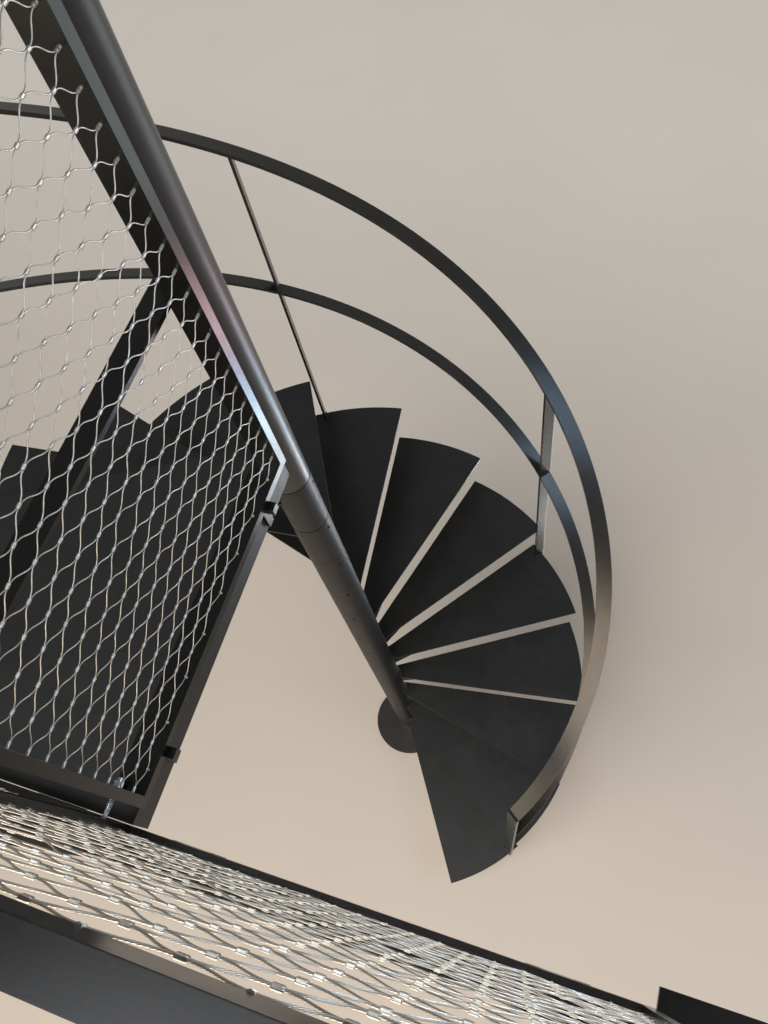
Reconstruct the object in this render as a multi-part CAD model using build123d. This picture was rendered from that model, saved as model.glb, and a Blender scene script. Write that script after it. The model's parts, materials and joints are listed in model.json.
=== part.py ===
from build123d import *
from math import asin, atan, cos, degrees, pi, radians, sin, sqrt, tan
import os

# Spiral stair of sheet-steel treads on a central column, with its landing,
# two-bar outer railing and two wire-net guards at the top.
# Millimetres. Origin: centre of the column at the foot flange's underside.
# +Z up, +X and +Y square to the stairwell's edges at the upper floor.

# Flight
RISE = 207.5
TREAD_COUNT = 12
STEP_ANGLE = 22.0
FIRST_ANGLE = -58.7
TREAD_RADIUS = 800.0
TREAD_THICK = 8.0
TREAD_OVERLAP = 35.0
RIB_THICK = 6.0
RIB_DEPTH = 70.0
RIB_TIP_DEPTH = 18.0
RIB_REACH = 700.0

# Column
COLUMN_RADIUS = 50.0
SLEEVE_BELOW_TREAD = 145.0
SLEEVE_CHAMFER = 1.0
SLEEVE_WALL = 5.5
CORE_CLEARANCE = 0.3
CORE_WALL = 5.0
SPIGOT_LENGTH = 300.0
FOOT_RADIUS = 170.0
FOOT_THICK = 10.0
CAP_THICK = 6.0
CAP_RADIUS_EXTRA = 3.0
COLUMN_ABOVE_GUARD = 60.0

# Outer railing
RAIL_INSET = 12.0
RAIL_STEP_RISE = 214.0
HANDRAIL_WIDTH = 44.0
HANDRAIL_THICK = 10.0
HANDRAIL_RISE = 938.0
MID_RAIL_WIDTH = 40.0
MID_RAIL_THICK = 8.0
MID_RAIL_RISE = 443.0
POST_WIDTH = 40.0
POST_THICK = 8.0
POST_SETBACK_ANGLE = 0.9
POST_TREADS = (1, 5, 8, 12)
END_POST_LEAN = 28.0

# Landing
LANDING_FREE_EDGE_X = 36.0
LANDING_LEFT_X = -850.0
LANDING_THICK = 8.0
EDGE_BAR_DEPTH = 60.0
EDGE_BAR_THICK = 8.0

# Guards round the landing
GUARD_HEIGHT = 1090.0
GUARD_GAP = 30.0
GUARD_BAR_DEPTH = 60.0
GUARD_BAR_THICK = 20.0
GUARD_FRONT_X = 60.0
MID_BAR_HEIGHT = 520.0
MID_BAR_WIDTH = 50.0
MID_BAR_THICK = 10.0
NET_SETBACK = 12.0
NET_PITCH_Z = 48.6
NET_PITCH_LONG = 85.0
NET_THICK = 2.0
NET_ROPE = 2.4
SEAT_GAP = 0.3
GUARD_FAR_Y = -774.0
BRACKET_PLACES = (-160.0, -672.0)
BRACKET_WIDTH = 20.0
BRACKET_REACH = 39.0
BRACKET_RISE = 20.0
NEAR_GUARD_FRONT_Y = -805.0
NEAR_TOP_SETBACK = 11.0
NEAR_TOP_DEPTH = 26.0
NEAR_TOP_THICK = 34.0
PANEL_JOINT_X = 32.0
GALLERY_END_X = 929.0
FOOT_INSET = 140.0
FOOT_LENGTH = 100.0
FOOT_PLATE_THICK = 8.0
EDGE_PLATE_WIDTH = 30.0
EDGE_PLATE_LENGTH = 260.0
EDGE_PLATE_THICK = 10.0
TIE_ROD_RADIUS = 5.0
TIE_ROD_X = 14.0
TIE_ROD_HEIGHT = 68.0

# Worked out from the sizes above
RAIL_CENTRE_RADIUS = TREAD_RADIUS - RAIL_INSET
LANDING_Z = RISE * (TREAD_COUNT + 1)
LANDING_ANGLE = FIRST_ANGLE + STEP_ANGLE * TREAD_COUNT
SLEEVE_INNER = COLUMN_RADIUS - SLEEVE_WALL
CORE_RADIUS = SLEEVE_INNER - CORE_CLEARANCE
FIRST_SLEEVE_Z = RISE - SLEEVE_BELOW_TREAD
UPPER_COLUMN_Z = RISE * (TREAD_COUNT + 1) - SLEEVE_BELOW_TREAD
LANDING_NEAR_Y = NEAR_GUARD_FRONT_Y + SEAT_GAP
GUARD_TOP_Z = LANDING_Z + GUARD_HEIGHT
GUARD_BASE_Z = LANDING_Z + GUARD_GAP
GUARD_PANEL_HEIGHT = GUARD_HEIGHT - GUARD_GAP
COLUMN_TOP_Z = GUARD_TOP_Z + COLUMN_ABOVE_GUARD
GUARD_COLUMN_Y = -COLUMN_RADIUS - SEAT_GAP
RAIL_PITCH = RAIL_STEP_RISE * 360.0 / STEP_ANGLE

parts = {}


def block(x0, x1, y0, y1, z0, z1):
    """A rectangular bar between two corners."""
    size = Box(abs(x1 - x0), abs(y1 - y0), abs(z1 - z0))
    return Pos((x0 + x1) / 2, (y0 + y1) / 2, (z0 + z1) / 2) * size


def tube(outer, inner, z0, z1):
    """An upright tube on the column's axis."""
    height = z1 - z0
    solid = Cylinder(outer, height) - Cylinder(inner, height)
    return Pos(0, 0, (z0 + z1) / 2) * solid


def tread_front_angle(number):
    return FIRST_ANGLE + STEP_ANGLE * (number - 1)


def rail_height(angle, above_first_nosing):
    """Height of a rail's top at an angle about the column."""
    return RISE + above_first_nosing + (angle - FIRST_ANGLE) / STEP_ANGLE * RAIL_STEP_RISE


def tread_outline():
    """The sheet of a tread, front edge along +X, back edge parallel to the next front edge."""
    turn = radians(STEP_ANGLE)
    reach = sqrt(TREAD_RADIUS ** 2 - TREAD_OVERLAP ** 2)
    back_x = reach * cos(turn) - TREAD_OVERLAP * sin(turn)
    back_y = reach * sin(turn) + TREAD_OVERLAP * cos(turn)
    sweep_angle = STEP_ANGLE + degrees(asin(TREAD_OVERLAP / TREAD_RADIUS))
    middle = radians(sweep_angle / 2)
    rim_middle = (TREAD_RADIUS * cos(middle), TREAD_RADIUS * sin(middle))
    root = (-TREAD_OVERLAP * sin(turn), TREAD_OVERLAP * cos(turn))
    front = Line((0, 0), (TREAD_RADIUS, 0))
    rim = ThreePointArc((TREAD_RADIUS, 0), rim_middle, (back_x, back_y))
    back = Polyline((back_x, back_y), root, (0, 0))
    return make_face([front, rim, back])


def tread_rib():
    """Tapered flat under the middle of a tread, welded to the sleeve and the sheet."""
    start = SLEEVE_INNER + SLEEVE_WALL / 2
    profile = make_face(
        Polyline(
            (start, 0),
            (RIB_REACH, 0),
            (RIB_REACH, -RIB_TIP_DEPTH),
            (start, -RIB_DEPTH),
            (start, 0),
        )
    )
    upright = Plane.XZ * profile
    rib = extrude(upright, RIB_THICK / 2, both=True)
    return Rot(0, 0, STEP_ANGLE / 2) * rib


def make_tread(number):
    """One tread: sheet, rib and column sleeve welded together."""
    sheet = Pos(0, 0, -TREAD_THICK) * extrude(tread_outline(), TREAD_THICK)
    rib = Pos(0, 0, -TREAD_THICK) * tread_rib()
    sleeve = Pos(0, 0, RISE / 2 - SLEEVE_BELOW_TREAD) * Cylinder(COLUMN_RADIUS, RISE)
    rims = sleeve.edges().filter_by(GeomType.CIRCLE)
    sleeve = chamfer(rims, SLEEVE_CHAMFER)
    bore = Pos(0, 0, RISE / 2 - SLEEVE_BELOW_TREAD) * Cylinder(SLEEVE_INNER, RISE)
    solid = sheet + rib + sleeve - bore
    return Pos(0, 0, RISE * number) * Rot(0, 0, tread_front_angle(number)) * solid


def helical_bar(width, thick, start, end, above_first_nosing):
    """A flat bar lying flat on a helix over the tread ends, a little longer than its span."""
    margin = 1.5
    first = start - margin
    turned = end - start + 2 * margin
    path = Helix(RAIL_PITCH, RAIL_PITCH * turned / 360.0, RAIL_CENTRE_RADIUS)
    section = Plane(path @ 0, x_dir=(1, 0, 0), z_dir=path % 0) * Rectangle(width, thick)
    bar = sweep(section, path=path, is_frenet=True)
    slope = RAIL_PITCH / (2 * pi * RAIL_CENTRE_RADIUS)
    half_upright = thick / 2 * sqrt(1 + slope ** 2)
    height = rail_height(first, above_first_nosing) - half_upright
    return Pos(0, 0, height) * Rot(0, 0, first) * bar


def radial_plane(angle, offset):
    """Upright plane through the column's axis at an angle, moved along the way up by offset."""
    a = radians(angle)
    onward = Vector(-sin(a), cos(a), 0)
    return Plane(origin=onward * offset, x_dir=(cos(a), sin(a), 0), z_dir=onward)


def post_angle(number):
    return tread_front_angle(number + 1) - POST_SETBACK_ANGLE


def end_post_plane(offset):
    """Plane of the leaning end post, moved square to itself and onward by offset."""
    a = radians(post_angle(POST_TREADS[0]))
    lean = radians(END_POST_LEAN_ANGLE)
    across = Vector(-sin(a) * cos(lean), cos(a) * cos(lean), -sin(lean))
    foot = Vector(0, 0, RISE * POST_TREADS[0])
    return Plane(origin=foot + across * offset, x_dir=(cos(a), sin(a), 0), z_dir=across)


def rail_between(width, thick, low, low_plane, high, high_plane, above):
    bar = helical_bar(width, thick, post_angle(low), post_angle(high), above)
    bar = split(bar, bisect_by=low_plane, keep=Keep.TOP)
    return split(bar, bisect_by=high_plane, keep=Keep.BOTTOM)


def make_post(number):
    """Upright flat from a tread's surface to the underside of the handrail."""
    angle = post_angle(number)
    foot = RISE * number
    top = rail_height(angle, HANDRAIL_RISE) - HANDRAIL_THICK / 2
    bar = Pos(RAIL_CENTRE_RADIUS, 0, (foot + top) / 2) * Box(POST_WIDTH, POST_THICK, top - foot)
    return Rot(0, 0, angle) * bar


def make_end_post():
    """Flat at the foot of the flight, as wide as the handrail, leaning the way up."""
    foot = RISE * POST_TREADS[0]
    length = END_POST_TOP - foot + 2 * HANDRAIL_THICK
    bar = Pos(RAIL_CENTRE_RADIUS, 0, length / 2 - HANDRAIL_THICK) * Box(HANDRAIL_WIDTH, HANDRAIL_THICK, length)
    bar = Pos(0, 0, foot) * Rot(-END_POST_LEAN_ANGLE, 0, 0) * bar
    reach = 2 * TREAD_RADIUS
    bar = bar & block(0, reach, -reach, reach, foot, END_POST_TOP)
    return Rot(0, 0, post_angle(POST_TREADS[0])) * bar


# Column
foot_disc = Pos(0, 0, FOOT_THICK / 2) * Cylinder(FOOT_RADIUS, FOOT_THICK)
parts["foot_flange"] = foot_disc
parts["foot_sleeve"] = tube(COLUMN_RADIUS, SLEEVE_INNER, FOOT_THICK, FIRST_SLEEVE_Z)
core_top = UPPER_COLUMN_Z + SPIGOT_LENGTH
parts["column_core"] = tube(CORE_RADIUS, CORE_RADIUS - CORE_WALL, FOOT_THICK, core_top)
parts["upper_column"] = tube(COLUMN_RADIUS, SLEEVE_INNER, UPPER_COLUMN_Z, COLUMN_TOP_Z)
cap_z = COLUMN_TOP_Z + CAP_THICK / 2
parts["column_cap"] = Pos(0, 0, cap_z) * Cylinder(COLUMN_RADIUS + CAP_RADIUS_EXTRA, CAP_THICK)

# Treads
for tread_number in range(1, TREAD_COUNT + 1):
    parts[f"tread_{tread_number:02d}"] = make_tread(tread_number)

# Outer railing, its bars cut at the posts
end_post_turn = degrees(END_POST_LEAN / RAIL_CENTRE_RADIUS)
end_post_fall = HANDRAIL_THICK / 2 * RAIL_PITCH / (2 * pi * RAIL_CENTRE_RADIUS)
END_POST_TOP = rail_height(post_angle(POST_TREADS[0]) + end_post_turn, HANDRAIL_RISE) + end_post_fall
END_POST_LEAN_ANGLE = degrees(atan(END_POST_LEAN / (END_POST_TOP - RISE * POST_TREADS[0])))
flights = list(zip(POST_TREADS[:-1], POST_TREADS[1:]))
handrails = []
for index, (low, high) in enumerate(flights, start=1):
    handrail_start = radial_plane(post_angle(low), 0.0)
    mid_rail_start = radial_plane(post_angle(low), POST_THICK / 2)
    handrail_end = radial_plane(post_angle(high), 0.0)
    mid_rail_end = radial_plane(post_angle(high), -POST_THICK / 2)
    if index == 1:
        handrail_start = end_post_plane(HANDRAIL_THICK / 2)
        mid_rail_start = handrail_start
    if index == len(flights):
        handrail_end = radial_plane(post_angle(high), POST_THICK / 2)
    handrails.append(
        rail_between(
            HANDRAIL_WIDTH, HANDRAIL_THICK, low, handrail_start, high, handrail_end, HANDRAIL_RISE
        )
    )
    parts[f"handrail_{index}"] = handrails[-1]
    parts[f"mid_rail_{index}"] = rail_between(
        MID_RAIL_WIDTH, MID_RAIL_THICK, low, mid_rail_start, high, mid_rail_end, MID_RAIL_RISE
    )

parts["end_post"] = make_end_post()
for number in POST_TREADS[1:]:
    post = make_post(number)
    for handrail in handrails:
        post = post - handrail
    parts[f"post_{number:02d}"] = post


def landing_outline(inset):
    """Plan of the landing, drawn in by an inset from its straight edges."""
    lead = radians(LANDING_ANGLE)
    left = LANDING_LEFT_X + inset
    near = LANDING_NEAR_Y + inset
    free = LANDING_FREE_EDGE_X - inset
    slope = tan(lead)
    drop = inset / abs(cos(lead))
    front_left = (left, left * slope - drop)
    front_free = (free, free * slope - drop)
    return make_face(
        Polyline((free, near), (left, near), front_left, front_free, (free, near))
    )


# Landing
landing_hole = Pos(0, 0, LANDING_Z - LANDING_THICK / 2) * Cylinder(COLUMN_RADIUS, LANDING_THICK)
landing_sheet = Pos(0, 0, LANDING_Z - LANDING_THICK) * extrude(landing_outline(0.0), LANDING_THICK)
parts["landing_plate"] = landing_sheet - landing_hole

frame_z = LANDING_Z - LANDING_THICK - EDGE_BAR_DEPTH
ring = extrude(landing_outline(0.0), EDGE_BAR_DEPTH)
ring = ring - extrude(landing_outline(EDGE_BAR_THICK), EDGE_BAR_DEPTH)
column_clear = Cylinder(COLUMN_RADIUS, 4 * EDGE_BAR_DEPTH)
parts["landing_frame"] = Pos(0, 0, frame_z) * (ring - column_clear)


def cut_off(corners, axis, side, limit):
    """A polygon's corners without what lies past a limit on one side of one axis."""
    kept = []
    for here, after in zip(corners, corners[1:] + corners[:1]):
        past_here = side * here[axis] - limit
        past_after = side * after[axis] - limit
        if past_here <= 0:
            kept.append(here)
        if past_here * past_after < 0:
            share = past_here / (past_here - past_after)
            kept.append(tuple(h + share * (a - h) for h, a in zip(here, after)))
    return kept


def net_sheet(length, height):
    """Wire net drawn as one thin sheet with diamond gaps, long diagonals level."""
    columns = 2 * round(length / NET_PITCH_LONG)
    rows = 2 * round(height / NET_PITCH_Z)
    half_long = length / columns
    half_short = height / rows
    web = NET_ROPE / 2 * sqrt(half_long ** 2 + half_short ** 2)
    reach_x = half_long - web / half_short
    reach_y = half_short - web / half_long
    limits = (length / 2 - NET_ROPE, height / 2 - NET_ROPE)
    gaps = []
    for column in range(columns + 1):
        for row in range(rows + 1):
            if (column + row) % 2 == 0:
                x = half_long * column - length / 2
                y = half_short * row - height / 2
                corners = [(x + reach_x, y), (x, y + reach_y), (x - reach_x, y), (x, y - reach_y)]
                for axis, limit in enumerate(limits):
                    corners = cut_off(corners, axis, 1, limit)
                    corners = cut_off(corners, axis, -1, limit)
                gaps.append(Wire(Polyline(*corners, corners[0]).edges()))
    sheet = Face(Rectangle(length, height).face().outer_wire(), gaps)
    return Pos(0, 0, -NET_THICK / 2) * Solid.extrude(sheet, Vector(0, 0, NET_THICK))


def guard_panel(prefix, post_names, length, place, top_thick, top_front, top_back):
    """Flats on edge round a net; front face on local y = 0, standing on local z = 0."""
    first_post, last_post = post_names
    end = length - GUARD_BAR_THICK
    top = GUARD_PANEL_HEIGHT - top_thick
    depth = GUARD_BAR_DEPTH
    parts[f"{prefix}_{first_post}"] = place * block(0, GUARD_BAR_THICK, 0, depth, 0, top)
    parts[f"{prefix}_{last_post}"] = place * block(end, length, 0, depth, 0, top)
    parts[f"{prefix}_bottom_bar"] = place * block(GUARD_BAR_THICK, end, 0, depth, 0, GUARD_BAR_THICK)
    parts[f"{prefix}_top_bar"] = place * block(0, length, top_front, top_back, top, GUARD_PANEL_HEIGHT)
    net_height = top - GUARD_BAR_THICK
    net_middle = Pos(length / 2, NET_SETBACK, GUARD_BAR_THICK + net_height / 2)
    net = Plane.XZ * net_sheet(end - GUARD_BAR_THICK, net_height)
    parts[f"{prefix}_net"] = place * net_middle * net


# Guard between the column and the landing's corner
landing_guard_length = GUARD_COLUMN_Y - GUARD_FAR_Y
landing_guard_place = Pos(GUARD_FRONT_X, GUARD_FAR_Y, GUARD_BASE_Z) * Rot(0, 0, 90)
guard_panel(
    "landing_guard",
    ("corner_post", "column_post"),
    landing_guard_length,
    landing_guard_place,
    GUARD_BAR_THICK,
    0.0,
    GUARD_BAR_DEPTH,
)
mid_bar_z = LANDING_Z + MID_BAR_HEIGHT
guard_back_x = GUARD_FRONT_X - GUARD_BAR_DEPTH
parts["landing_guard_mid_bar"] = block(
    guard_back_x - MID_BAR_WIDTH,
    guard_back_x,
    GUARD_FAR_Y,
    GUARD_COLUMN_Y - MID_BAR_WIDTH,
    mid_bar_z - MID_BAR_THICK / 2,
    mid_bar_z + MID_BAR_THICK / 2,
)


def edge_bracket(place):
    """Angle from a landing edge on local x = 0 to the front of a guard's bottom bar."""
    half = BRACKET_WIDTH / 2
    under = GUARD_BASE_Z - BRACKET_RISE
    foot = block(0, BRACKET_REACH, -half, half, under, GUARD_BASE_Z)
    leg = block(0, EDGE_BAR_THICK, -half, half, LANDING_Z - EDGE_BAR_DEPTH, GUARD_BASE_Z)
    return place * (foot + leg)


for bracket_number, bracket_y in enumerate(BRACKET_PLACES, start=1):
    bracket_place = Pos(LANDING_FREE_EDGE_X, bracket_y, 0)
    parts[f"landing_guard_bracket_{bracket_number}"] = edge_bracket(bracket_place)


def floor_foot(x):
    """Plate on the floor's edge with a block under a guard's bottom bar."""
    back = NEAR_GUARD_FRONT_Y - GUARD_BAR_DEPTH
    half = FOOT_LENGTH / 2
    plate_top = LANDING_Z + FOOT_PLATE_THICK
    plate = block(x - half, x + half, back, NEAR_GUARD_FRONT_Y, LANDING_Z, plate_top)
    riser = block(x - half / 2, x + half / 2, back, NEAR_GUARD_FRONT_Y, plate_top, GUARD_BASE_Z)
    return plate + riser


def floor_guard(prefix, left, right):
    """Guard along the floor's edge, with a foot near each end."""
    place = Pos(right, NEAR_GUARD_FRONT_Y, GUARD_BASE_Z) * Rot(0, 0, 180)
    guard_panel(
        prefix,
        ("right_post", "left_post"),
        right - left,
        place,
        NEAR_TOP_THICK,
        NEAR_TOP_SETBACK,
        NEAR_TOP_SETBACK + NEAR_TOP_DEPTH,
    )
    for number, x in enumerate((left + FOOT_INSET, right - FOOT_INSET), start=1):
        parts[f"{prefix}_foot_{number}"] = floor_foot(x)


# Guards along the landing's near side and on along the gallery
floor_guard("near_guard", LANDING_LEFT_X, PANEL_JOINT_X - SEAT_GAP / 2)
floor_guard("gallery_guard", PANEL_JOINT_X + SEAT_GAP / 2, GALLERY_END_X)

# Flat that carries the line of the floor's edge on past the gallery guard
edge_plate_top = GUARD_BASE_Z + GUARD_BAR_THICK
parts["gallery_edge_plate"] = block(
    GALLERY_END_X,
    GALLERY_END_X + EDGE_PLATE_LENGTH,
    NEAR_GUARD_FRONT_Y - GUARD_BAR_THICK,
    NEAR_GUARD_FRONT_Y + EDGE_PLATE_WIDTH,
    edge_plate_top - EDGE_PLATE_THICK,
    edge_plate_top,
)

# Threaded tie from the landing guard's corner post to the near guard
tie_length = GUARD_FAR_Y - NEAR_GUARD_FRONT_Y
tie_middle = Pos(TIE_ROD_X, (GUARD_FAR_Y + NEAR_GUARD_FRONT_Y) / 2, LANDING_Z + TIE_ROD_HEIGHT)
parts["tie_rod"] = tie_middle * Rot(90, 0, 0) * Cylinder(TIE_ROD_RADIUS, tie_length)

os.makedirs("parts", exist_ok=True)
for name, solid in parts.items():
    export_step(solid, f"parts/{name}.step")
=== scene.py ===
import json
from math import cos, pi, radians, sin
from random import Random

import bpy
from mathutils import Euler, Matrix, Vector


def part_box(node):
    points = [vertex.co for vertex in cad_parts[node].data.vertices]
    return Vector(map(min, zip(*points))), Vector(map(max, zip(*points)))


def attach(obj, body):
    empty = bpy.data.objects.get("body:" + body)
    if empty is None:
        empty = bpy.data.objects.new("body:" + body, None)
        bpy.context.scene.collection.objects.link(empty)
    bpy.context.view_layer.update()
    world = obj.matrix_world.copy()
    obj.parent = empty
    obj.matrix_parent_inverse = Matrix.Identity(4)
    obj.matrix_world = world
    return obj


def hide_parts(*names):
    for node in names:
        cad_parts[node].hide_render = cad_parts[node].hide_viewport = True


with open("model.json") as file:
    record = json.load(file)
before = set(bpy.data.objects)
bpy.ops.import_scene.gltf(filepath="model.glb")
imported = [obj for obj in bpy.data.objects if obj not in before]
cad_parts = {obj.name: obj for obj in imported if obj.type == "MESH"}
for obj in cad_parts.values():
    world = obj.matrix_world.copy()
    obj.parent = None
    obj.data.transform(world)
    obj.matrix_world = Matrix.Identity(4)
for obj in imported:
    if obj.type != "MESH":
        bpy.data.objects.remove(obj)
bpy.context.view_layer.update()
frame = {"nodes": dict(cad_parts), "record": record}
nodes = frame["nodes"]

# Camera, at the upper floor beside the opening
CAMERA_PLACE = (0.7078, -0.7582, 4.1347)
CAMERA_TURN = (27.1989, 8.1118, 17.2309)
CAMERA_LENS = 28.1236

# Wire nets
ROPE_RADIUS = 0.00095
ROPE_SIDES = 6
ROPE_SWAY = 0.62
ROPE_STRANDS = 6
ROPE_LAY = 0.019
CELL_STEPS = 8
CELL_LONG = 0.0425
CELL_SHORT = 0.0243
NET_JITTER = 0.0007
NET_JITTER_OUT = 1.2
ROPE_SPACING = 1.02
FERRULE_LENGTH = 0.0074
FERRULE_HALF = 0.0027
FERRULE_DEEP = 0.0017
FERRULE_TILT = 0.05
FERRULE_STATIONS = ((-0.5, 0.78), (-0.38, 1.0), (0.38, 1.0), (0.5, 0.78))
FERRULE_FLAT_WIDE = 0.72
FERRULE_FLAT_DEEP = 0.60
HOOK_LENGTH = 0.011
HOOK_FERRULE_HALF = 0.0026
HOOK_FERRULE_PLACE = 0.62
HOOK_FERRULE_SHARE = 0.6
BAR_HOOK = 0.006
ROPE_IN_POST = 0.001

# Lacing slots in the bottom bars, and eyes where a net meets its frame
SLOT_HALF = 0.0085
SLOT_WIDE = 0.0026
SLOT_LIFT = 0.0003
SLOT_SIDES = 16
EYE_SIDES = 8
POST_EYE = ((0.0, 0.0024), (0.003, 0.0024), (0.004, 0.0016), (0.008, 0.0016))
BAR_EYE = ((0.0, 0.0024), (0.002, 0.0024), (0.003, 0.0016), (0.0075, 0.0016))

# Lamps: name, place, target, width, height, brightness, colour
LAMPS = (
    ("sky", (3.6, -0.25, 4.4), (0.3, 0.2, 1.8), 1.4, 1.4, 5.0, (0.52, 0.76, 1.0)),
    ("warm_side", (0.9, -3.5, 4.0), (0.5, 0.0, 1.5), 2.6, 2.0, 6.6, (1.0, 0.81, 0.60)),
    ("warm_low", (-1.9, -3.45, 2.7), (0.4, -0.6, 1.1), 1.6, 1.6, 4.2, (1.0, 0.82, 0.58)),
)

# Cards that only show in satin and metal, as the window's sill and wall do
CARDS = (
    ("sill_white", (0.98, 1.16, 0.34), (0.05, 0.0, 2.7), 0.52, 0.8, 12.0, (0.93, 0.97, 1.0)),
    ("sill_blue", (1.45, 1.50, 0.42), (0.05, 0.0, 2.9), 0.7, 0.40, 14.0, (0.40, 0.72, 1.0)),
    ("sill_rose", (1.80, 1.83, 0.60), (0.05, 0.0, 2.9), 0.9, 0.45, 10.0, (1.0, 0.62, 0.68)),
    ("wall_cool", (2.3, 2.35, 2.0), (0.05, 0.0, 3.2), 1.6, 1.9, 2.2, (0.82, 0.95, 1.0)),
)

# Wide soft sun, and the world's three tones
SKYLIGHT_FROM = (-0.217, -0.48, 0.85)
SKYLIGHT_ANGLE = 40.0
SKYLIGHT_STRENGTH = 2.0
SKYLIGHT_COLOUR = (0.94, 0.97, 1.0)
WORLD_BRIGHT = (0.46, 0.43, 0.38, 1.0)
WORLD_DARK = (0.12, 0.11, 0.095, 1.0)
WORLD_ZENITH = (0.19, 0.20, 0.21, 1.0)
WINDOW_SIDE = (0.71, 0.71, 0.0)

# Floor
BACKDROP_GLOW = (0.50, 0.50, 0.47, 1.0)
FLOOR_COLOUR = (0.52, 0.46, 0.40)
FLOOR_REACH = 12.0
FLOOR_BELOW_PART = 0.0005
FLOOR_GRAIN = 90.0

# Coats
DUST_COLOUR = (0.22, 0.205, 0.185, 1.0)
SPECK_COLOUR = (0.42, 0.40, 0.37, 1.0)

# Small parts of the guards
MID_BAR_PAST_POST = 0.025
MID_BAR_CHAMFER = 0.0008
THREAD_PITCH = 0.0015
THREAD_DEPTH = 0.00095
THREAD_SIDES = 20
RINGS_PER_PITCH = 4
NUT_WASHER = ((0.0, 0.0102), (0.0018, 0.0102), (0.0021, 0.0098))
NUT_WASHER_SIDES = 28
NUT_ON_WASHER = 0.0021
NUT_FLATS = 0.0165
NUT_HEIGHT = 0.008
ROD_TIP_START = 0.0095
ROD_TIP = ((0.0, 0.0049), (0.006, 0.0049), (0.0068, 0.0041))
HEX_SIDES = 6
HEX_CHAMFER = 0.0009
FOOT_PLATE_THICK = 0.008
FOOT_BOLT_INSET = 0.0125
FOOT_BOLT_FLATS = 0.010
BOLT_HEAD_SHARE = 0.62
BOLT_WASHER_THICK = 0.0022
BOLT_WASHER_SIDES = 24

# Flight, for the small parts on it
RISE = 0.2075
STEP_ANGLE = 22.0
FIRST_ANGLE = -58.7
TREAD_COUNT = 12
COLUMN_RADIUS = 0.05
SLEEVE_BELOW_TREAD = 0.145
SEAM_RADIUS = 0.04985
SEAM_DEEP = 0.0008
SEAM_HALF = 0.0006
SEAM_SIDES = 48
OPEN_SEAMS = (11, 12)
OPEN_SEAM_RADIUS = 0.0502
OPEN_SEAM_HALF = 0.0019
SCREW_TURN_FROM_TREAD = 184.0
SCREW_RISE_SHARE = 0.12
SCREW_SUNK = 0.0006
SCREW_PROFILE = ((0.0, 0.0046), (0.0009, 0.0046), (0.0013, 0.0041), (0.0013, 0.0026), (0.0002, 0.0024))
SCREW_SIDES = 12

# Weld beads
BEAD_SIDES = 8
BEAD_RIPPLE = 0.18
BEAD_RIPPLE_TURN = 1.9
BEAD_SPREAD = 0.05
BEAD_END_SHARE = 0.35
TREAD_BEAD = 0.0032
TREAD_BEAD_OUT = 0.0012
TREAD_BEAD_UP = 0.0014
TREAD_BEAD_START = 2.0
TREAD_BEAD_PAST_TREAD = 36.0
TREAD_BEAD_STEPS = 30
POST_BEAD = 0.0024
POST_BEAD_OUT = 0.0006
POST_BEAD_UP = 0.0008
POST_BEAD_SHARE = 0.9
POST_BEAD_STEPS = 12


class Shape:
    """Vertices, faces, a material number per face and a UV pair per face corner."""

    def __init__(self):
        self.points = []
        self.faces = []
        self.kinds = []
        self.uvs = []

    def add_face(self, corners, kind=0, uvs=None):
        self.faces.append(corners)
        self.kinds.append(kind)
        self.uvs.extend(uvs or [(0.0, 0.0)] * len(corners))

    def add_rings(self, rings, kind=0, lengths=None):
        """Skin a row of rings that have the same number of points, and close both ends."""
        sides = len(rings[0])
        start = len(self.points)
        for ring in rings:
            self.points.extend(ring)
        for r in range(len(rings) - 1):
            here = start + r * sides
            after = here + sides
            low = lengths[r] if lengths else r
            high = lengths[r + 1] if lengths else r + 1
            for k in range(sides):
                n = (k + 1) % sides
                corners = (here + k, here + n, after + n, after + k)
                v0, v1 = k / sides, (k + 1) / sides
                self.add_face(corners, kind, [(low, v0), (low, v1), (high, v1), (high, v0)])
        self.add_face(tuple(start + k for k in reversed(range(sides))), kind)
        last = start + (len(rings) - 1) * sides
        self.add_face(tuple(last + k for k in range(sides)), kind)


def make_piece(name, shape, materials, smooth=True, replaced=None):
    """Put a shape in the scene as one piece of the root body."""
    mesh = bpy.data.meshes.new(name)
    mesh.from_pydata([tuple(p) for p in shape.points], [], shape.faces)
    layer = mesh.uv_layers.new(name="Lay")
    layer.data.foreach_set("uv", [c for uv in shape.uvs for c in uv])
    for material in materials:
        mesh.materials.append(material)
    mesh.polygons.foreach_set("material_index", shape.kinds)
    mesh.polygons.foreach_set("use_smooth", [smooth] * len(shape.faces))
    mesh.update()
    piece = bpy.data.objects.new(name, mesh)
    bpy.context.scene.collection.objects.link(piece)
    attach(piece, "root")
    if replaced:
        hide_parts(replaced)
    return piece


def round_ring(centre, across, up, radius, sides):
    ring = []
    for k in range(sides):
        a = 2 * pi * k / sides
        ring.append(centre + across * (radius * cos(a)) + up * (radius * sin(a)))
    return ring


def axes_about(direction):
    """Two unit directions square to a direction and to each other."""
    helper = Vector((0, 0, 1)) if abs(direction.z) < 0.9 else Vector((1, 0, 0))
    across = direction.cross(helper).normalized()
    return across, direction.cross(across).normalized()


def turned_form(shape, place, direction, profile, sides, kind=0):
    """Revolve (distance along, radius) pairs about a direction from a place."""
    across, up = axes_about(direction)
    rings = []
    for along, radius in profile:
        rings.append(round_ring(place + direction * along, across, up, radius, sides))
    shape.add_rings(rings, kind)


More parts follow.
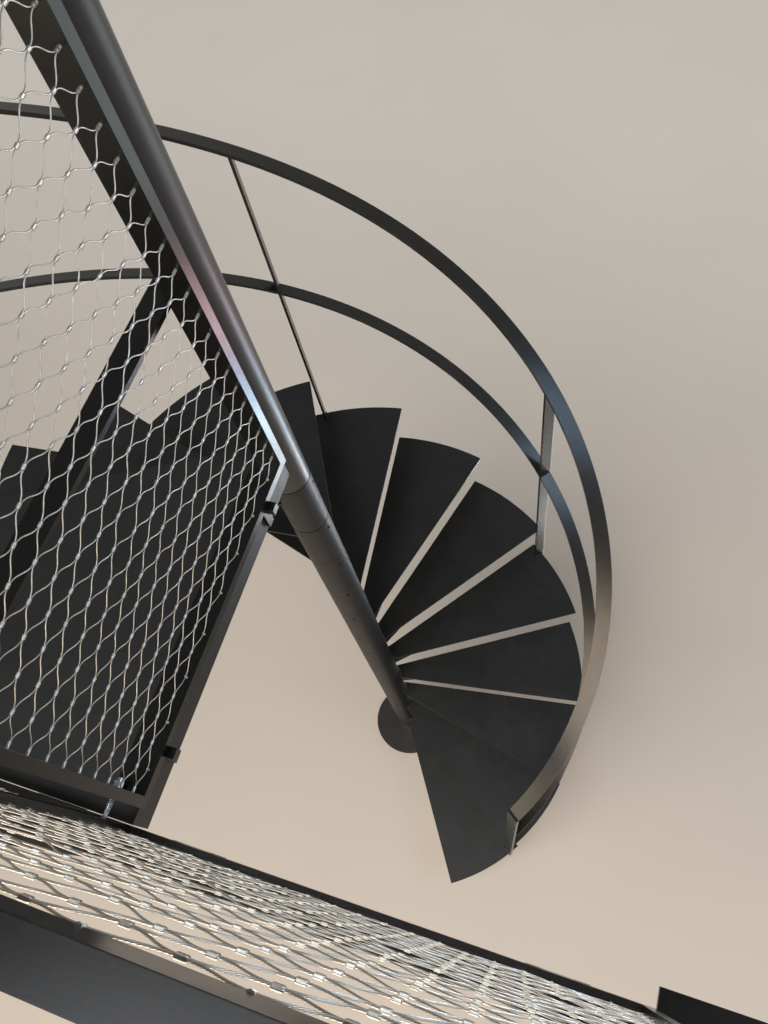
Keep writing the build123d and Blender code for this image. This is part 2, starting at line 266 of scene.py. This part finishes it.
class Tree:
    """Short calls for building one material's nodes."""

    def __init__(self, name):
        self.material = bpy.data.materials.new(name)
        self.material.use_nodes = True
        self.tree = self.material.node_tree
        self.tree.nodes.clear()
        self.shader = self.add("ShaderNodeBsdfPrincipled")
        output = self.add("ShaderNodeOutputMaterial")
        self.join(self.shader.outputs["BSDF"], output.inputs["Surface"])

    def add(self, kind, **settings):
        node = self.tree.nodes.new(kind)
        for key, value in settings.items():
            setattr(node, key, value)
        return node

    def join(self, source, target):
        self.tree.links.new(source, target)

    def give(self, target, value):
        if isinstance(value, (int, float, tuple)):
            target.default_value = value
        else:
            self.join(value, target)

    def where(self):
        return self.add("ShaderNodeTexCoord").outputs["Object"]

    def noise(self, scale, detail=3.0, rough=0.5):
        node = self.add("ShaderNodeTexNoise")
        node.inputs["Scale"].default_value = scale
        node.inputs["Detail"].default_value = detail
        node.inputs["Roughness"].default_value = rough
        self.join(self.where(), node.inputs["Vector"])
        return node.outputs["Fac"]

    def math(self, operation, first, second=0.0):
        node = self.add("ShaderNodeMath", operation=operation)
        self.give(node.inputs[0], first)
        self.give(node.inputs[1], second)
        return node.outputs[0]

    def span(self, value, low, high, to_low, to_high):
        node = self.add("ShaderNodeMapRange")
        self.give(node.inputs["Value"], value)
        ends = (("From Min", low), ("From Max", high), ("To Min", to_low), ("To Max", to_high))
        for key, number in ends:
            node.inputs[key].default_value = number
        return node.outputs["Result"]

    def mix(self, share, first, second):
        node = self.add("ShaderNodeMix", data_type="RGBA")
        self.give(node.inputs["Factor"], share)
        self.give(node.inputs[6], first)
        self.give(node.inputs[7], second)
        return node.outputs[2]

    def bump(self, height, strength, distance, normal=None):
        node = self.add("ShaderNodeBump")
        node.inputs["Strength"].default_value = strength
        node.inputs["Distance"].default_value = distance
        self.join(height, node.inputs["Height"])
        if normal is not None:
            self.join(normal, node.inputs["Normal"])
        return node.outputs["Normal"]

    def soft_edges(self, radius):
        node = self.add("ShaderNodeBevel", samples=4)
        node.inputs["Radius"].default_value = radius
        return node.outputs["Normal"]

    def facing_up(self):
        split = self.add("ShaderNodeSeparateXYZ")
        self.join(self.add("ShaderNodeNewGeometry").outputs["Normal"], split.inputs[0])
        return split.outputs["Z"]


def shade(colour, factor):
    """A colour made lighter or darker, as the four numbers that a node takes."""
    return tuple(c * factor for c in colour[:3]) + (1.0,)


def powder_coat(name, colour, roughness, grain, dust, edge, sheen=0.5):
    """Satin powder coat with a fine texture, dust on what faces up, and soft edges."""
    t = Tree(name)
    cloud = t.span(t.noise(2.3, 4.0), 0.3, 0.7, 0.0, 1.0)
    tone = t.mix(cloud, shade(colour, 0.90), shade(colour, 1.10))
    up = t.span(t.facing_up(), 0.5, 1.0, 0.0, 1.0)
    film = t.span(t.noise(9.0, 6.0, 0.65), 0.42, 0.75, 0.0, 1.0)
    dusty = t.math("MULTIPLY", t.math("MULTIPLY", film, up), dust)
    tone = t.mix(dusty, tone, DUST_COLOUR)
    cells = t.add("ShaderNodeTexVoronoi")
    cells.inputs["Scale"].default_value = 95.0
    t.join(t.where(), cells.inputs["Vector"])
    near = t.math("LESS_THAN", cells.outputs["Distance"], 0.085)
    some = t.math("GREATER_THAN", t.noise(31.0, 1.0), 0.60)
    settled = t.math("MULTIPLY", up, min(1.0, dust * 2.2))
    speck = t.math("MULTIPLY", t.math("MULTIPLY", near, some), settled)
    tone = t.mix(speck, tone, SPECK_COLOUR)
    t.join(tone, t.shader.inputs["Base Color"])
    t.shader.inputs["Specular IOR Level"].default_value = sheen
    rub = t.span(t.noise(38.0, 3.0), 0.3, 0.7, -0.03 * grain, 0.03 * grain)
    rough = t.math("ADD", t.math("ADD", rub, roughness), t.math("MULTIPLY", dusty, 0.35))
    t.join(rough, t.shader.inputs["Roughness"])
    peel = t.bump(t.noise(420.0, 2.0), 0.22 * grain, 0.00014, t.soft_edges(edge))
    normal = t.bump(t.noise(1500.0, 2.0, 0.6), 0.3 * grain, 0.00006, peel)
    t.join(normal, t.shader.inputs["Normal"])
    return t.material


def wire_rope():
    """Stainless strands laid round the rope, with painted shade in the grooves between them."""
    t = Tree("stainless_rope")
    coordinates = t.add("ShaderNodeUVMap", uv_map="Lay")
    split = t.add("ShaderNodeSeparateXYZ")
    t.join(coordinates.outputs["UV"], split.inputs[0])
    turn = t.math("ADD", t.math("MULTIPLY", split.outputs["X"], 1 / ROPE_LAY), split.outputs["Y"])
    wave = t.math("SINE", t.math("MULTIPLY", turn, 2 * pi * ROPE_STRANDS))
    half_wave = t.math("SINE", t.math("MULTIPLY", turn, pi * ROPE_STRANDS))
    crown_and_groove_shade = t.math("POWER", t.math("ABSOLUTE", half_wave), 0.6)
    # Painted shade: the colour is darkened in the grooves between strands and left light on their crowns.
    tone = t.mix(crown_and_groove_shade, (0.20, 0.19, 0.175, 1.0), (0.70, 0.68, 0.64, 1.0))
    grime = t.span(t.noise(14.0, 3.0), 0.35, 0.7, 0.0, 0.25)
    tone = t.mix(grime, tone, (0.40, 0.37, 0.33, 1.0))
    t.join(tone, t.shader.inputs["Base Color"])
    t.shader.inputs["Metallic"].default_value = 0.85
    t.join(t.span(t.noise(60.0, 2.0), 0.3, 0.7, 0.28, 0.38), t.shader.inputs["Roughness"])
    fine = t.bump(wave, 0.15, 0.0001)
    t.join(t.bump(crown_and_groove_shade, 0.5, 0.0002, fine), t.shader.inputs["Normal"])
    return t.material


def bright_metal(name, colour, roughness, tint):
    """Bare or plated small parts, a little cloudy and scuffed."""
    t = Tree(name)
    cloud = t.span(t.noise(55.0, 4.0), 0.3, 0.7, 0.0, 1.0)
    t.join(t.mix(cloud, shade(colour, 1.0), tint), t.shader.inputs["Base Color"])
    t.shader.inputs["Metallic"].default_value = 1.0
    scuffs = t.span(t.noise(240.0, 3.0), 0.3, 0.7, roughness - 0.06, roughness + 0.1)
    t.join(scuffs, t.shader.inputs["Roughness"])
    t.join(t.bump(t.noise(900.0, 3.0), 0.3, 0.0002), t.shader.inputs["Normal"])
    return t.material


def painted_shade_recess():
    """Nearly black painted shade, for slots, joint lines and screws that sit in shadow."""
    t = Tree("painted_shade_dark")
    tone = t.mix(t.noise(300.0, 2.0), (0.004, 0.004, 0.004, 1.0), (0.012, 0.012, 0.011, 1.0))
    t.join(tone, t.shader.inputs["Base Color"])
    t.shader.inputs["Specular IOR Level"].default_value = 0.12
    t.join(t.span(t.noise(90.0, 2.0), 0.3, 0.7, 0.7, 0.9), t.shader.inputs["Roughness"])
    t.join(t.bump(t.noise(700.0, 2.0), 0.2, 0.0002), t.shader.inputs["Normal"])
    return t.material


TREAD_COAT = powder_coat("tread_powder_coat", (0.0055, 0.0056, 0.0056),
                         roughness=0.50, grain=1.0, dust=0.03, edge=0.0012)
RAIL_COAT = powder_coat("rail_powder_coat", (0.012, 0.0115, 0.0108),
                        roughness=0.26, grain=0.6, dust=0.03, edge=0.0010)
COLUMN_COAT = powder_coat("column_powder_coat", (0.026, 0.0255, 0.025),
                          roughness=0.33, grain=0.5, dust=0.02, edge=0.0006)
GUARD_COAT = powder_coat("guard_powder_coat", (0.0050, 0.0047, 0.0045),
                         roughness=0.25, grain=0.6, dust=0.02, edge=0.0010, sheen=0.34)
WELD_COAT = powder_coat("weld_powder_coat", (0.030, 0.030, 0.031),
                        roughness=0.16, grain=0.3, dust=0.01, edge=0.0003)
ROPE = wire_rope()
FERRULE = bright_metal("stainless_ferrule", (0.76, 0.75, 0.72), 0.42, tint=(0.60, 0.59, 0.56, 1.0))
ZINC = bright_metal("bright_zinc", (0.66, 0.68, 0.70), 0.24, tint=(0.50, 0.53, 0.56, 1.0))
# Painted shade, for the slots, the sleeve seams and the set screws
PAINTED_SHADE_BLACK = painted_shade_recess()

NODE_COATS = {
    "tread_coat": TREAD_COAT,
    "railing_coat": RAIL_COAT,
    "column_coat": COLUMN_COAT,
    "guard_coat": GUARD_COAT,
    "net_wire": ROPE,
    "fastener_zinc": ZINC,
}


def dress_nodes():
    """Give each solid of the CAD the material of its slot."""
    slots = {part["node"]: part["material_slot"] for part in frame["record"]["subparts"]}
    for name, node in nodes.items():
        node.data.materials.clear()
        node.data.materials.append(NODE_COATS[slots[name]])


def add_rope(shape, points, normal):
    """One tube through points that all lie near a plane with this normal."""
    rings = []
    lengths = []
    run = 0.0
    for i, point in enumerate(points):
        if i:
            run += (point - points[i - 1]).length
        before = points[max(i - 1, 0)]
        after = points[min(i + 1, len(points) - 1)]
        tangent = (after - before).normalized()
        side = tangent.cross(normal).normalized()
        rings.append(round_ring(point, normal, side, ROPE_RADIUS, ROPE_SIDES))
        lengths.append(run)
    shape.add_rings(rings, 0, lengths)


def add_ferrule(shape, centre, along, across, normal, length, half):
    """Flat crimped block round two ropes that lie side by side, with chamfered edges."""
    rings = []
    for share, swell in FERRULE_STATIONS:
        middle = centre + along * (share * length)
        wide, deep = half * swell, FERRULE_DEEP * swell
        ring = []
        for k in range(4):
            for side in (0, 1):
                a = pi / 2 * k + pi / 4
                long_side = (k + side) % 2 == 1
                x = (1.0 if cos(a) > 0 else -1.0) * (wide if long_side else wide * FERRULE_FLAT_WIDE)
                y = (1.0 if sin(a) > 0 else -1.0) * (deep * FERRULE_FLAT_DEEP if long_side else deep)
                ring.append(middle + across * x + normal * y)
        rings.append(ring)
    shape.add_rings(rings, 1)


def add_slot(shape, centre, along, normal):
    """Rounded lacing slot in the top of a bottom bar, beside the net, a thin sheet of painted shade."""
    ring_low, ring_high = [], []
    for k in range(SLOT_SIDES):
        a = 2 * pi * k / SLOT_SIDES
        end = SLOT_HALF - SLOT_WIDE if cos(a) >= 0 else SLOT_WIDE - SLOT_HALF
        point = centre + along * (end + SLOT_WIDE * cos(a)) + normal * (SLOT_WIDE * sin(a))
        ring_low.append(point - Vector((0, 0, SLOT_LIFT)))
        ring_high.append(point + Vector((0, 0, SLOT_LIFT)))
    if along.cross(normal).z < 0:
        ring_low.reverse()
        ring_high.reverse()
    shape.add_rings([ring_low, ring_high])


class Net:
    """Grid of rope crossings over a net node's own plane, each a little off its place."""

    def __init__(self, node, origin, along, up):
        low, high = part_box(node)
        self.origin, self.along, self.up = origin, along, up
        self.normal = along.cross(up)
        length = abs((high - low).dot(along))
        height = high.z - low.z
        self.columns = 2 * round(length / (2 * CELL_LONG))
        self.rows = 2 * round(height / (2 * CELL_SHORT))
        self.step_along = length / self.columns
        self.step_up = height / self.rows
        self.dice = Random(len(node) + self.columns)
        self.shift = {}
        for c in range(self.columns + 1):
            for r in range(self.rows + 1):
                on_edge = c in (0, self.columns) or r in (0, self.rows)
                spread = 0.0 if on_edge else NET_JITTER
                spreads = (spread, spread, NET_JITTER_OUT * spread)
                self.shift[c, r] = tuple(self.dice.gauss(0, s) for s in spreads)

    def place(self, u, w, n):
        return self.origin + self.along * u + self.up * w + self.normal * n

    def crossing(self, c, r):
        su, sw, sn = self.shift[c, r]
        return self.place(c * self.step_along + su, r * self.step_up + sw, sn)

    def rope_at_column(self, c, j):
        """Where rope j passes column c: above one crossing or below the next."""
        row = j if (c + j) % 2 else j + 1
        side = ROPE_RADIUS * (ROPE_SPACING if row == j else -ROPE_SPACING)
        if row == 0:
            side = BAR_HOOK
        elif row == self.rows:
            side = -BAR_HOOK
        su, sw, sn = self.shift[c, row]
        return c * self.step_along + su, row * self.step_up + side + sw, sn

    def rope_points(self, j):
        """Points of rope j, which swings from crossing to crossing along the net."""
        points = []
        last = self.columns - 1
        for c in range(self.columns):
            ua, wa, na = self.rope_at_column(c, j)
            ub, wb, nb = self.rope_at_column(c + 1, j)
            if c == 0:
                points.append(self.place(ua + ROPE_IN_POST, wa, na))
            start = ua + (HOOK_LENGTH if c == 0 else FERRULE_LENGTH / 2)
            end = ub - (HOOK_LENGTH if c == last else FERRULE_LENGTH / 2)
            for step in range(CELL_STEPS + 1):
                share = step / CELL_STEPS
                eased = share - ROPE_SWAY * sin(2 * pi * share) / (2 * pi)
                u = start + (end - start) * share
                points.append(self.place(u, wa + (wb - wa) * eased, na + (nb - na) * share))
            if c == last:
                points.append(self.place(ub - ROPE_IN_POST, wb, nb))
        return points

    def add_fitting(self, shape, c, r, slots):
        """Hook at a post, eye at a bar, or ferrule at an inner crossing."""
        tilt = self.dice.gauss(0, FERRULE_TILT)
        centre = self.crossing(c, r)
        if c in (0, self.columns):
            inward = self.along if c == 0 else -self.along
            middle = centre + inward * HOOK_LENGTH * HOOK_FERRULE_PLACE
            length = HOOK_LENGTH * HOOK_FERRULE_SHARE
            add_ferrule(shape, middle, self.along, self.up, self.normal, length, HOOK_FERRULE_HALF)
            turned_form(shape, centre, inward, POST_EYE, EYE_SIDES, 1)
        elif r in (0, self.rows):
            inward = self.up if r == 0 else -self.up
            turned_form(shape, centre, inward, BAR_EYE, EYE_SIDES, 1)
            if slots is not None and r == 0:
                add_slot(slots, centre, self.along, self.normal)
        else:
            axis = (self.along * cos(tilt) + self.up * sin(tilt)).normalized()
            side = axis.cross(self.normal).normalized()
            add_ferrule(shape, centre, axis, side, self.normal, FERRULE_LENGTH, FERRULE_HALF)


def make_net(node, origin, along, up, slots=None):
    """Rope net in place of a net node, clamped at each crossing and hooked into the bars."""
    net = Net(node, origin, along, up)
    shape = Shape()
    for j in range(net.rows):
        add_rope(shape, net.rope_points(j), net.normal)
    for c in range(net.columns + 1):
        for r in range(net.rows + 1):
            if (c + r) % 2:
                net.add_fitting(shape, c, r, slots)
    name = node.replace("_net", "_rope_net")
    piece = make_piece(name, shape, [ROPE, FERRULE], True, node)
    round_faces = [kind == 0 for kind in shape.kinds]
    piece.data.polygons.foreach_set("use_smooth", round_faces)


def make_nets():
    """Three rope nets, and the lacing slots of the two that stand on the floor."""
    up = Vector((0, 0, 1))
    low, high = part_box("landing_guard_net")
    origin = Vector(((low.x + high.x) / 2, low.y, low.z))
    make_net("landing_guard_net", origin, Vector((0, 1, 0)), up)
    slots = Shape()
    for node in ("near_guard_net", "gallery_guard_net"):
        low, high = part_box(node)
        origin = Vector((low.x, (low.y + high.y) / 2, low.z))
        make_net(node, origin, Vector((1, 0, 0)), up, slots)
    # The slots are painted shade, the dark inside the holes.
    make_piece("lacing_slots", slots, [PAINTED_SHADE_BLACK], False)


def hex_profile(across_flats, height):
    """Side of a hexagon with a chamfered top, for turning with six sides."""
    radius = across_flats / 2 / cos(pi / 6)
    return [(0.0, radius), (height - HEX_CHAMFER, radius), (height, radius - 1.3 * HEX_CHAMFER)]


def add_bolt(shape, place, direction, flats):
    """Hex head on a washer."""
    washer = [(0.0, flats * 1.02), (0.0018, flats * 1.02), (BOLT_WASHER_THICK, flats * 0.98)]
    turned_form(shape, place, direction, washer, BOLT_WASHER_SIDES)
    base = place + direction * BOLT_WASHER_THICK
    turned_form(shape, base, direction, hex_profile(flats, flats * BOLT_HEAD_SHARE), HEX_SIDES)


def make_sleeve_seams():
    """Ring of painted shade where each two sleeves of the column meet, taller at the open joints."""
    shape = Shape()
    for number in range(TREAD_COUNT + 1):
        seam = RISE * (number + 1) - SLEEVE_BELOW_TREAD
        outer, half = SEAM_RADIUS, SEAM_HALF
        if number in OPEN_SEAMS:
            outer, half = OPEN_SEAM_RADIUS, OPEN_SEAM_HALF
        inner = outer - SEAM_DEEP
        corners = ((inner, -half), (outer, -half), (outer, half), (inner, half))
        start = len(shape.points)
        for k in range(SEAM_SIDES):
            turn = 2 * pi * k / SEAM_SIDES
            for radius, z in corners:
                shape.points.append(Vector((radius * cos(turn), radius * sin(turn), seam + z)))
        for k in range(SEAM_SIDES):
            here = start + 4 * k
            after = start + 4 * ((k + 1) % SEAM_SIDES)
            for side in range(4):
                n = (side + 1) % 4
                shape.add_face((here + side, after + side, after + n, here + n))
    # The rings are painted shade, the dark of the gaps between sleeves.
    make_piece("sleeve_seam_lines", shape, [PAINTED_SHADE_BLACK], False)


def make_sleeve_screws():
    """A set screw in each sleeve, opposite its tread."""
    shape = Shape()
    for number in range(1, TREAD_COUNT + 1):
        angle = radians(FIRST_ANGLE + STEP_ANGLE * (number - 0.5) + SCREW_TURN_FROM_TREAD)
        out = Vector((cos(angle), sin(angle), 0))
        height = RISE * (number + SCREW_RISE_SHARE)
        place = out * (COLUMN_RADIUS - SCREW_SUNK) + Vector((0, 0, height))
        turned_form(shape, place, out, SCREW_PROFILE, SCREW_SIDES)
    # The screws take the painted shade of their sunk holes.
    make_piece("sleeve_set_screws", shape, [PAINTED_SHADE_BLACK], True)


def add_bead(shape, points, normal, radius, dice):
    """Weld bead with the ripples of its passes."""
    rings = []
    for i, point in enumerate(points):
        after = points[min(i + 1, len(points) - 1)]
        before = points[max(i - 1, 0)]
        tangent = (after - before).normalized()
        side = tangent.cross(normal).normalized()
        fat = radius * (1.0 + BEAD_RIPPLE * sin(i * BEAD_RIPPLE_TURN) + dice.gauss(0, BEAD_SPREAD))
        if i in (0, len(points) - 1):
            fat = radius * BEAD_END_SHARE
        rings.append(round_ring(point, normal, side, fat, BEAD_SIDES))
    shape.add_rings(rings)


def make_welds():
    """Beads where each sheet meets its sleeve and where posts stand on treads."""
    shape = Shape()
    dice = Random(11)
    up = Vector((0, 0, 1))
    for number in range(1, TREAD_COUNT + 1):
        z = RISE * number
        front = FIRST_ANGLE + STEP_ANGLE * (number - 1)
        turn = (STEP_ANGLE + TREAD_BEAD_PAST_TREAD) / TREAD_BEAD_STEPS
        points = []
        for k in range(TREAD_BEAD_STEPS + 1):
            a = radians(front + TREAD_BEAD_START + k * turn)
            out = Vector((cos(a), sin(a), 0)) * (COLUMN_RADIUS + TREAD_BEAD_OUT)
            points.append(out + up * (z + TREAD_BEAD_UP))
        add_bead(shape, points, up, TREAD_BEAD, dice)
    make_piece("tread_weld_beads", shape, [WELD_COAT], True)
    posts = Shape()
    for node in ("end_post", "post_05", "post_08", "post_12"):
        low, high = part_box(node)
        base = [v.co for v in nodes[node].data.vertices if v.co.z < low.z + 0.0005]
        centre = sum(base, Vector()) / len(base)
        out = Vector((centre.x, centre.y, 0)).normalized()
        onward = Vector((-out.y, out.x, 0))
        reach = max(abs((p - centre).dot(out)) for p in base)
        thick = max(abs((p - centre).dot(onward)) for p in base)
        for side in (-1, 1):
            line = centre + onward * (side * (thick + POST_BEAD_OUT)) + up * POST_BEAD_UP
            points = []
            for k in range(POST_BEAD_STEPS + 1):
                share = k / POST_BEAD_STEPS * 2 - 1
                points.append(line + out * (share * reach * POST_BEAD_SHARE))
            add_bead(posts, points, up, POST_BEAD, dice)
    make_piece("post_weld_beads", posts, [RAIL_COAT], True)


def make_tie_rod():
    """Threaded rod, with a nut and washer on the inner face of the landing guard's corner post."""
    low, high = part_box("tie_rod")
    centre = (low + high) / 2
    radius = (high.x - low.x) / 2
    start = Vector((centre.x, low.y, centre.z))
    along = Vector((0, 1, 0))
    length = high.y - low.y
    shape = Shape()
    rings = []
    count = int(length / (THREAD_PITCH / RINGS_PER_PITCH))
    for i in range(count + 1):
        y = length * i / count
        ring = []
        for k in range(THREAD_SIDES):
            a = 2 * pi * k / THREAD_SIDES
            phase = (y / THREAD_PITCH - k / THREAD_SIDES) % 1.0
            depth = abs(phase - 0.5) * 2
            r = radius - THREAD_DEPTH * depth
            ring.append(start + along * y + Vector((cos(a), 0, sin(a))) * r)
        rings.append(ring)
    shape.add_rings(rings)
    make_piece("tie_rod_thread", shape, [ZINC], False, "tie_rod")
    post_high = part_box("landing_guard_corner_post")[1]
    nut = Shape()
    base = Vector((centre.x, post_high.y, centre.z))
    turned_form(nut, base, along, NUT_WASHER, NUT_WASHER_SIDES)
    hexagon = hex_profile(NUT_FLATS, NUT_HEIGHT)
    turned_form(nut, base + along * NUT_ON_WASHER, along, hexagon, HEX_SIDES)
    turned_form(nut, base + along * ROD_TIP_START, along, ROD_TIP, THREAD_SIDES)
    make_piece("tie_rod_nut", nut, [ZINC], False)


def make_mid_bar_end():
    """Last stretch of the mid bar, from its end past the column's post into the column."""
    low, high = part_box("landing_guard_mid_bar")
    post_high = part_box("landing_guard_column_post")[1]
    shape = Shape()
    rings = []
    end = post_high.y + MID_BAR_PAST_POST
    for y, shrink in ((high.y, 0.0), (end - MID_BAR_CHAMFER, 0.0), (end, MID_BAR_CHAMFER)):
        x0, x1 = low.x + shrink, high.x - shrink
        z0, z1 = low.z + shrink, high.z - shrink
        rings.append([Vector((x0, y, z0)), Vector((x0, y, z1)), Vector((x1, y, z1)), Vector((x1, y, z0))])
    shape.add_rings(rings)
    make_piece("landing_guard_mid_bar_end", shape, [GUARD_COAT], False)


def make_anchor_bolts():
    """Two bolts through each foot of the guards that stand on the floor."""
    up = Vector((0, 0, 1))
    feet = Shape()
    for guard in ("near_guard", "gallery_guard"):
        for number in (1, 2):
            low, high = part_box(f"{guard}_foot_{number}")
            plate_top = low.z + FOOT_PLATE_THICK
            for x in (low.x + FOOT_BOLT_INSET, high.x - FOOT_BOLT_INSET):
                place = Vector((x, (low.y + high.y) / 2, plate_top))
                add_bolt(feet, place, up, FOOT_BOLT_FLATS)
    make_piece("foot_anchor_bolts", feet, [ZINC], False)


def stage_material():
    """Matt floor, with a glow that lights nothing, so that its far end stays pale."""
    t = Tree("pale_floor")
    cloud = t.span(t.noise(0.7, 3.0), 0.3, 0.7, 0.0, 1.0)
    tone = t.mix(cloud, shade(FLOOR_COLOUR, 0.97), shade(FLOOR_COLOUR, 1.03))
    t.join(tone, t.shader.inputs["Base Color"])
    t.shader.inputs["Roughness"].default_value = 0.75
    t.join(t.bump(t.noise(FLOOR_GRAIN, 3.0), 0.1, 0.001), t.shader.inputs["Normal"])
    split = t.add("ShaderNodeSeparateXYZ")
    t.join(t.where(), split.inputs[0])
    far = t.span(split.outputs["Y"], 0.8, 4.5, 0.0, 0.26)
    path = t.add("ShaderNodeLightPath")
    seen = t.math("MAXIMUM", path.outputs["Is Camera Ray"], path.outputs["Is Glossy Ray"])
    t.shader.inputs["Emission Color"].default_value = BACKDROP_GLOW
    t.join(t.math("MULTIPLY", far, seen), t.shader.inputs["Emission Strength"])
    return t.material


def make_stage():
    """One wide floor, just under the part."""
    mesh = bpy.data.meshes.new("floor")
    signs = ((-1, -1), (1, -1), (1, 1), (-1, 1))
    corners = [(x * FLOOR_REACH, y * FLOOR_REACH, -FLOOR_BELOW_PART) for x, y in signs]
    mesh.from_pydata(corners, [], [(0, 1, 2, 3)])
    mesh.materials.append(stage_material())
    floor = bpy.data.objects.new("floor", mesh)
    bpy.context.scene.collection.objects.link(floor)


def area_lamp(name, place, target, width, height, radiance, colour):
    """Lamp that no camera sees, whose power follows from its area and brightness."""
    lamp = bpy.data.lights.new(name, "AREA")
    lamp.shape = "RECTANGLE"
    lamp.size = width
    lamp.size_y = height
    lamp.energy = radiance * pi * width * height
    lamp.color = colour
    holder = bpy.data.objects.new(name, lamp)
    bpy.context.scene.collection.objects.link(holder)
    holder.location = place
    aim = Vector(target) - Vector(place)
    holder.rotation_euler = aim.to_track_quat("-Z", "Y").to_euler()
    holder.visible_camera = False
    return holder


def make_world():
    """Bright toward the window's side, dark toward the room's, plain overhead."""
    world = bpy.data.worlds.new("studio")
    world.use_nodes = True
    tree = world.node_tree
    background = tree.nodes["Background"]
    where = tree.nodes.new("ShaderNodeTexCoord")
    toward = tree.nodes.new("ShaderNodeVectorMath")
    toward.operation = "DOT_PRODUCT"
    toward.inputs[1].default_value = WINDOW_SIDE
    tree.links.new(where.outputs["Generated"], toward.inputs[0])
    split = tree.nodes.new("ShaderNodeSeparateXYZ")
    tree.links.new(where.outputs["Generated"], split.inputs[0])
    blends = []
    for source, low, high in ((toward.outputs["Value"], -0.7, 0.7), (split.outputs["Z"], 0.05, 0.9)):
        span = tree.nodes.new("ShaderNodeMapRange")
        span.interpolation_type = "SMOOTHSTEP"
        span.inputs["From Min"].default_value = low
        span.inputs["From Max"].default_value = high
        tree.links.new(source, span.inputs["Value"])
        blend = tree.nodes.new("ShaderNodeMix")
        blend.data_type = "RGBA"
        tree.links.new(span.outputs["Result"], blend.inputs["Factor"])
        blends.append(blend)
    blends[0].inputs[6].default_value = WORLD_DARK
    blends[0].inputs[7].default_value = WORLD_BRIGHT
    tree.links.new(blends[0].outputs[2], blends[1].inputs[6])
    blends[1].inputs[7].default_value = WORLD_ZENITH
    tree.links.new(blends[1].outputs[2], background.inputs["Color"])
    background.inputs["Strength"].default_value = 1.0
    bpy.context.scene.world = world


def make_lights():
    """The lamps, the cards that only reflections show, and the soft sun."""
    for lamp in LAMPS:
        area_lamp(*lamp)
    for card in CARDS:
        area_lamp(*card).visible_diffuse = False
    skylight = bpy.data.lights.new("skylight", "SUN")
    skylight.angle = radians(SKYLIGHT_ANGLE)
    skylight.energy = SKYLIGHT_STRENGTH
    skylight.color = SKYLIGHT_COLOUR
    holder = bpy.data.objects.new("skylight", skylight)
    bpy.context.scene.collection.objects.link(holder)
    holder.rotation_euler = Vector(SKYLIGHT_FROM).to_track_quat("Z", "Y").to_euler()


def make_camera():
    """The photo's own viewpoint and lens, from the fit to the treads' corners."""
    camera = bpy.data.cameras.new("camera")
    camera.lens = CAMERA_LENS
    camera.sensor_fit = "VERTICAL"
    camera.sensor_height = 36.0
    camera.clip_start = 0.02
    camera.clip_end = 60.0
    holder = bpy.data.objects.new("camera", camera)
    bpy.context.scene.collection.objects.link(holder)
    turn = Euler([radians(a) for a in CAMERA_TURN])
    holder.matrix_world = Matrix.Translation(CAMERA_PLACE) @ turn.to_matrix().to_4x4()
    bpy.context.scene.camera = holder


make_camera()
dress_nodes()
make_nets()
make_sleeve_seams()
make_sleeve_screws()
make_welds()
make_tie_rod()
make_mid_bar_end()
make_anchor_bolts()
make_stage()
make_world()
make_lights()
bpy.context.scene.view_settings.view_transform = "Standard"
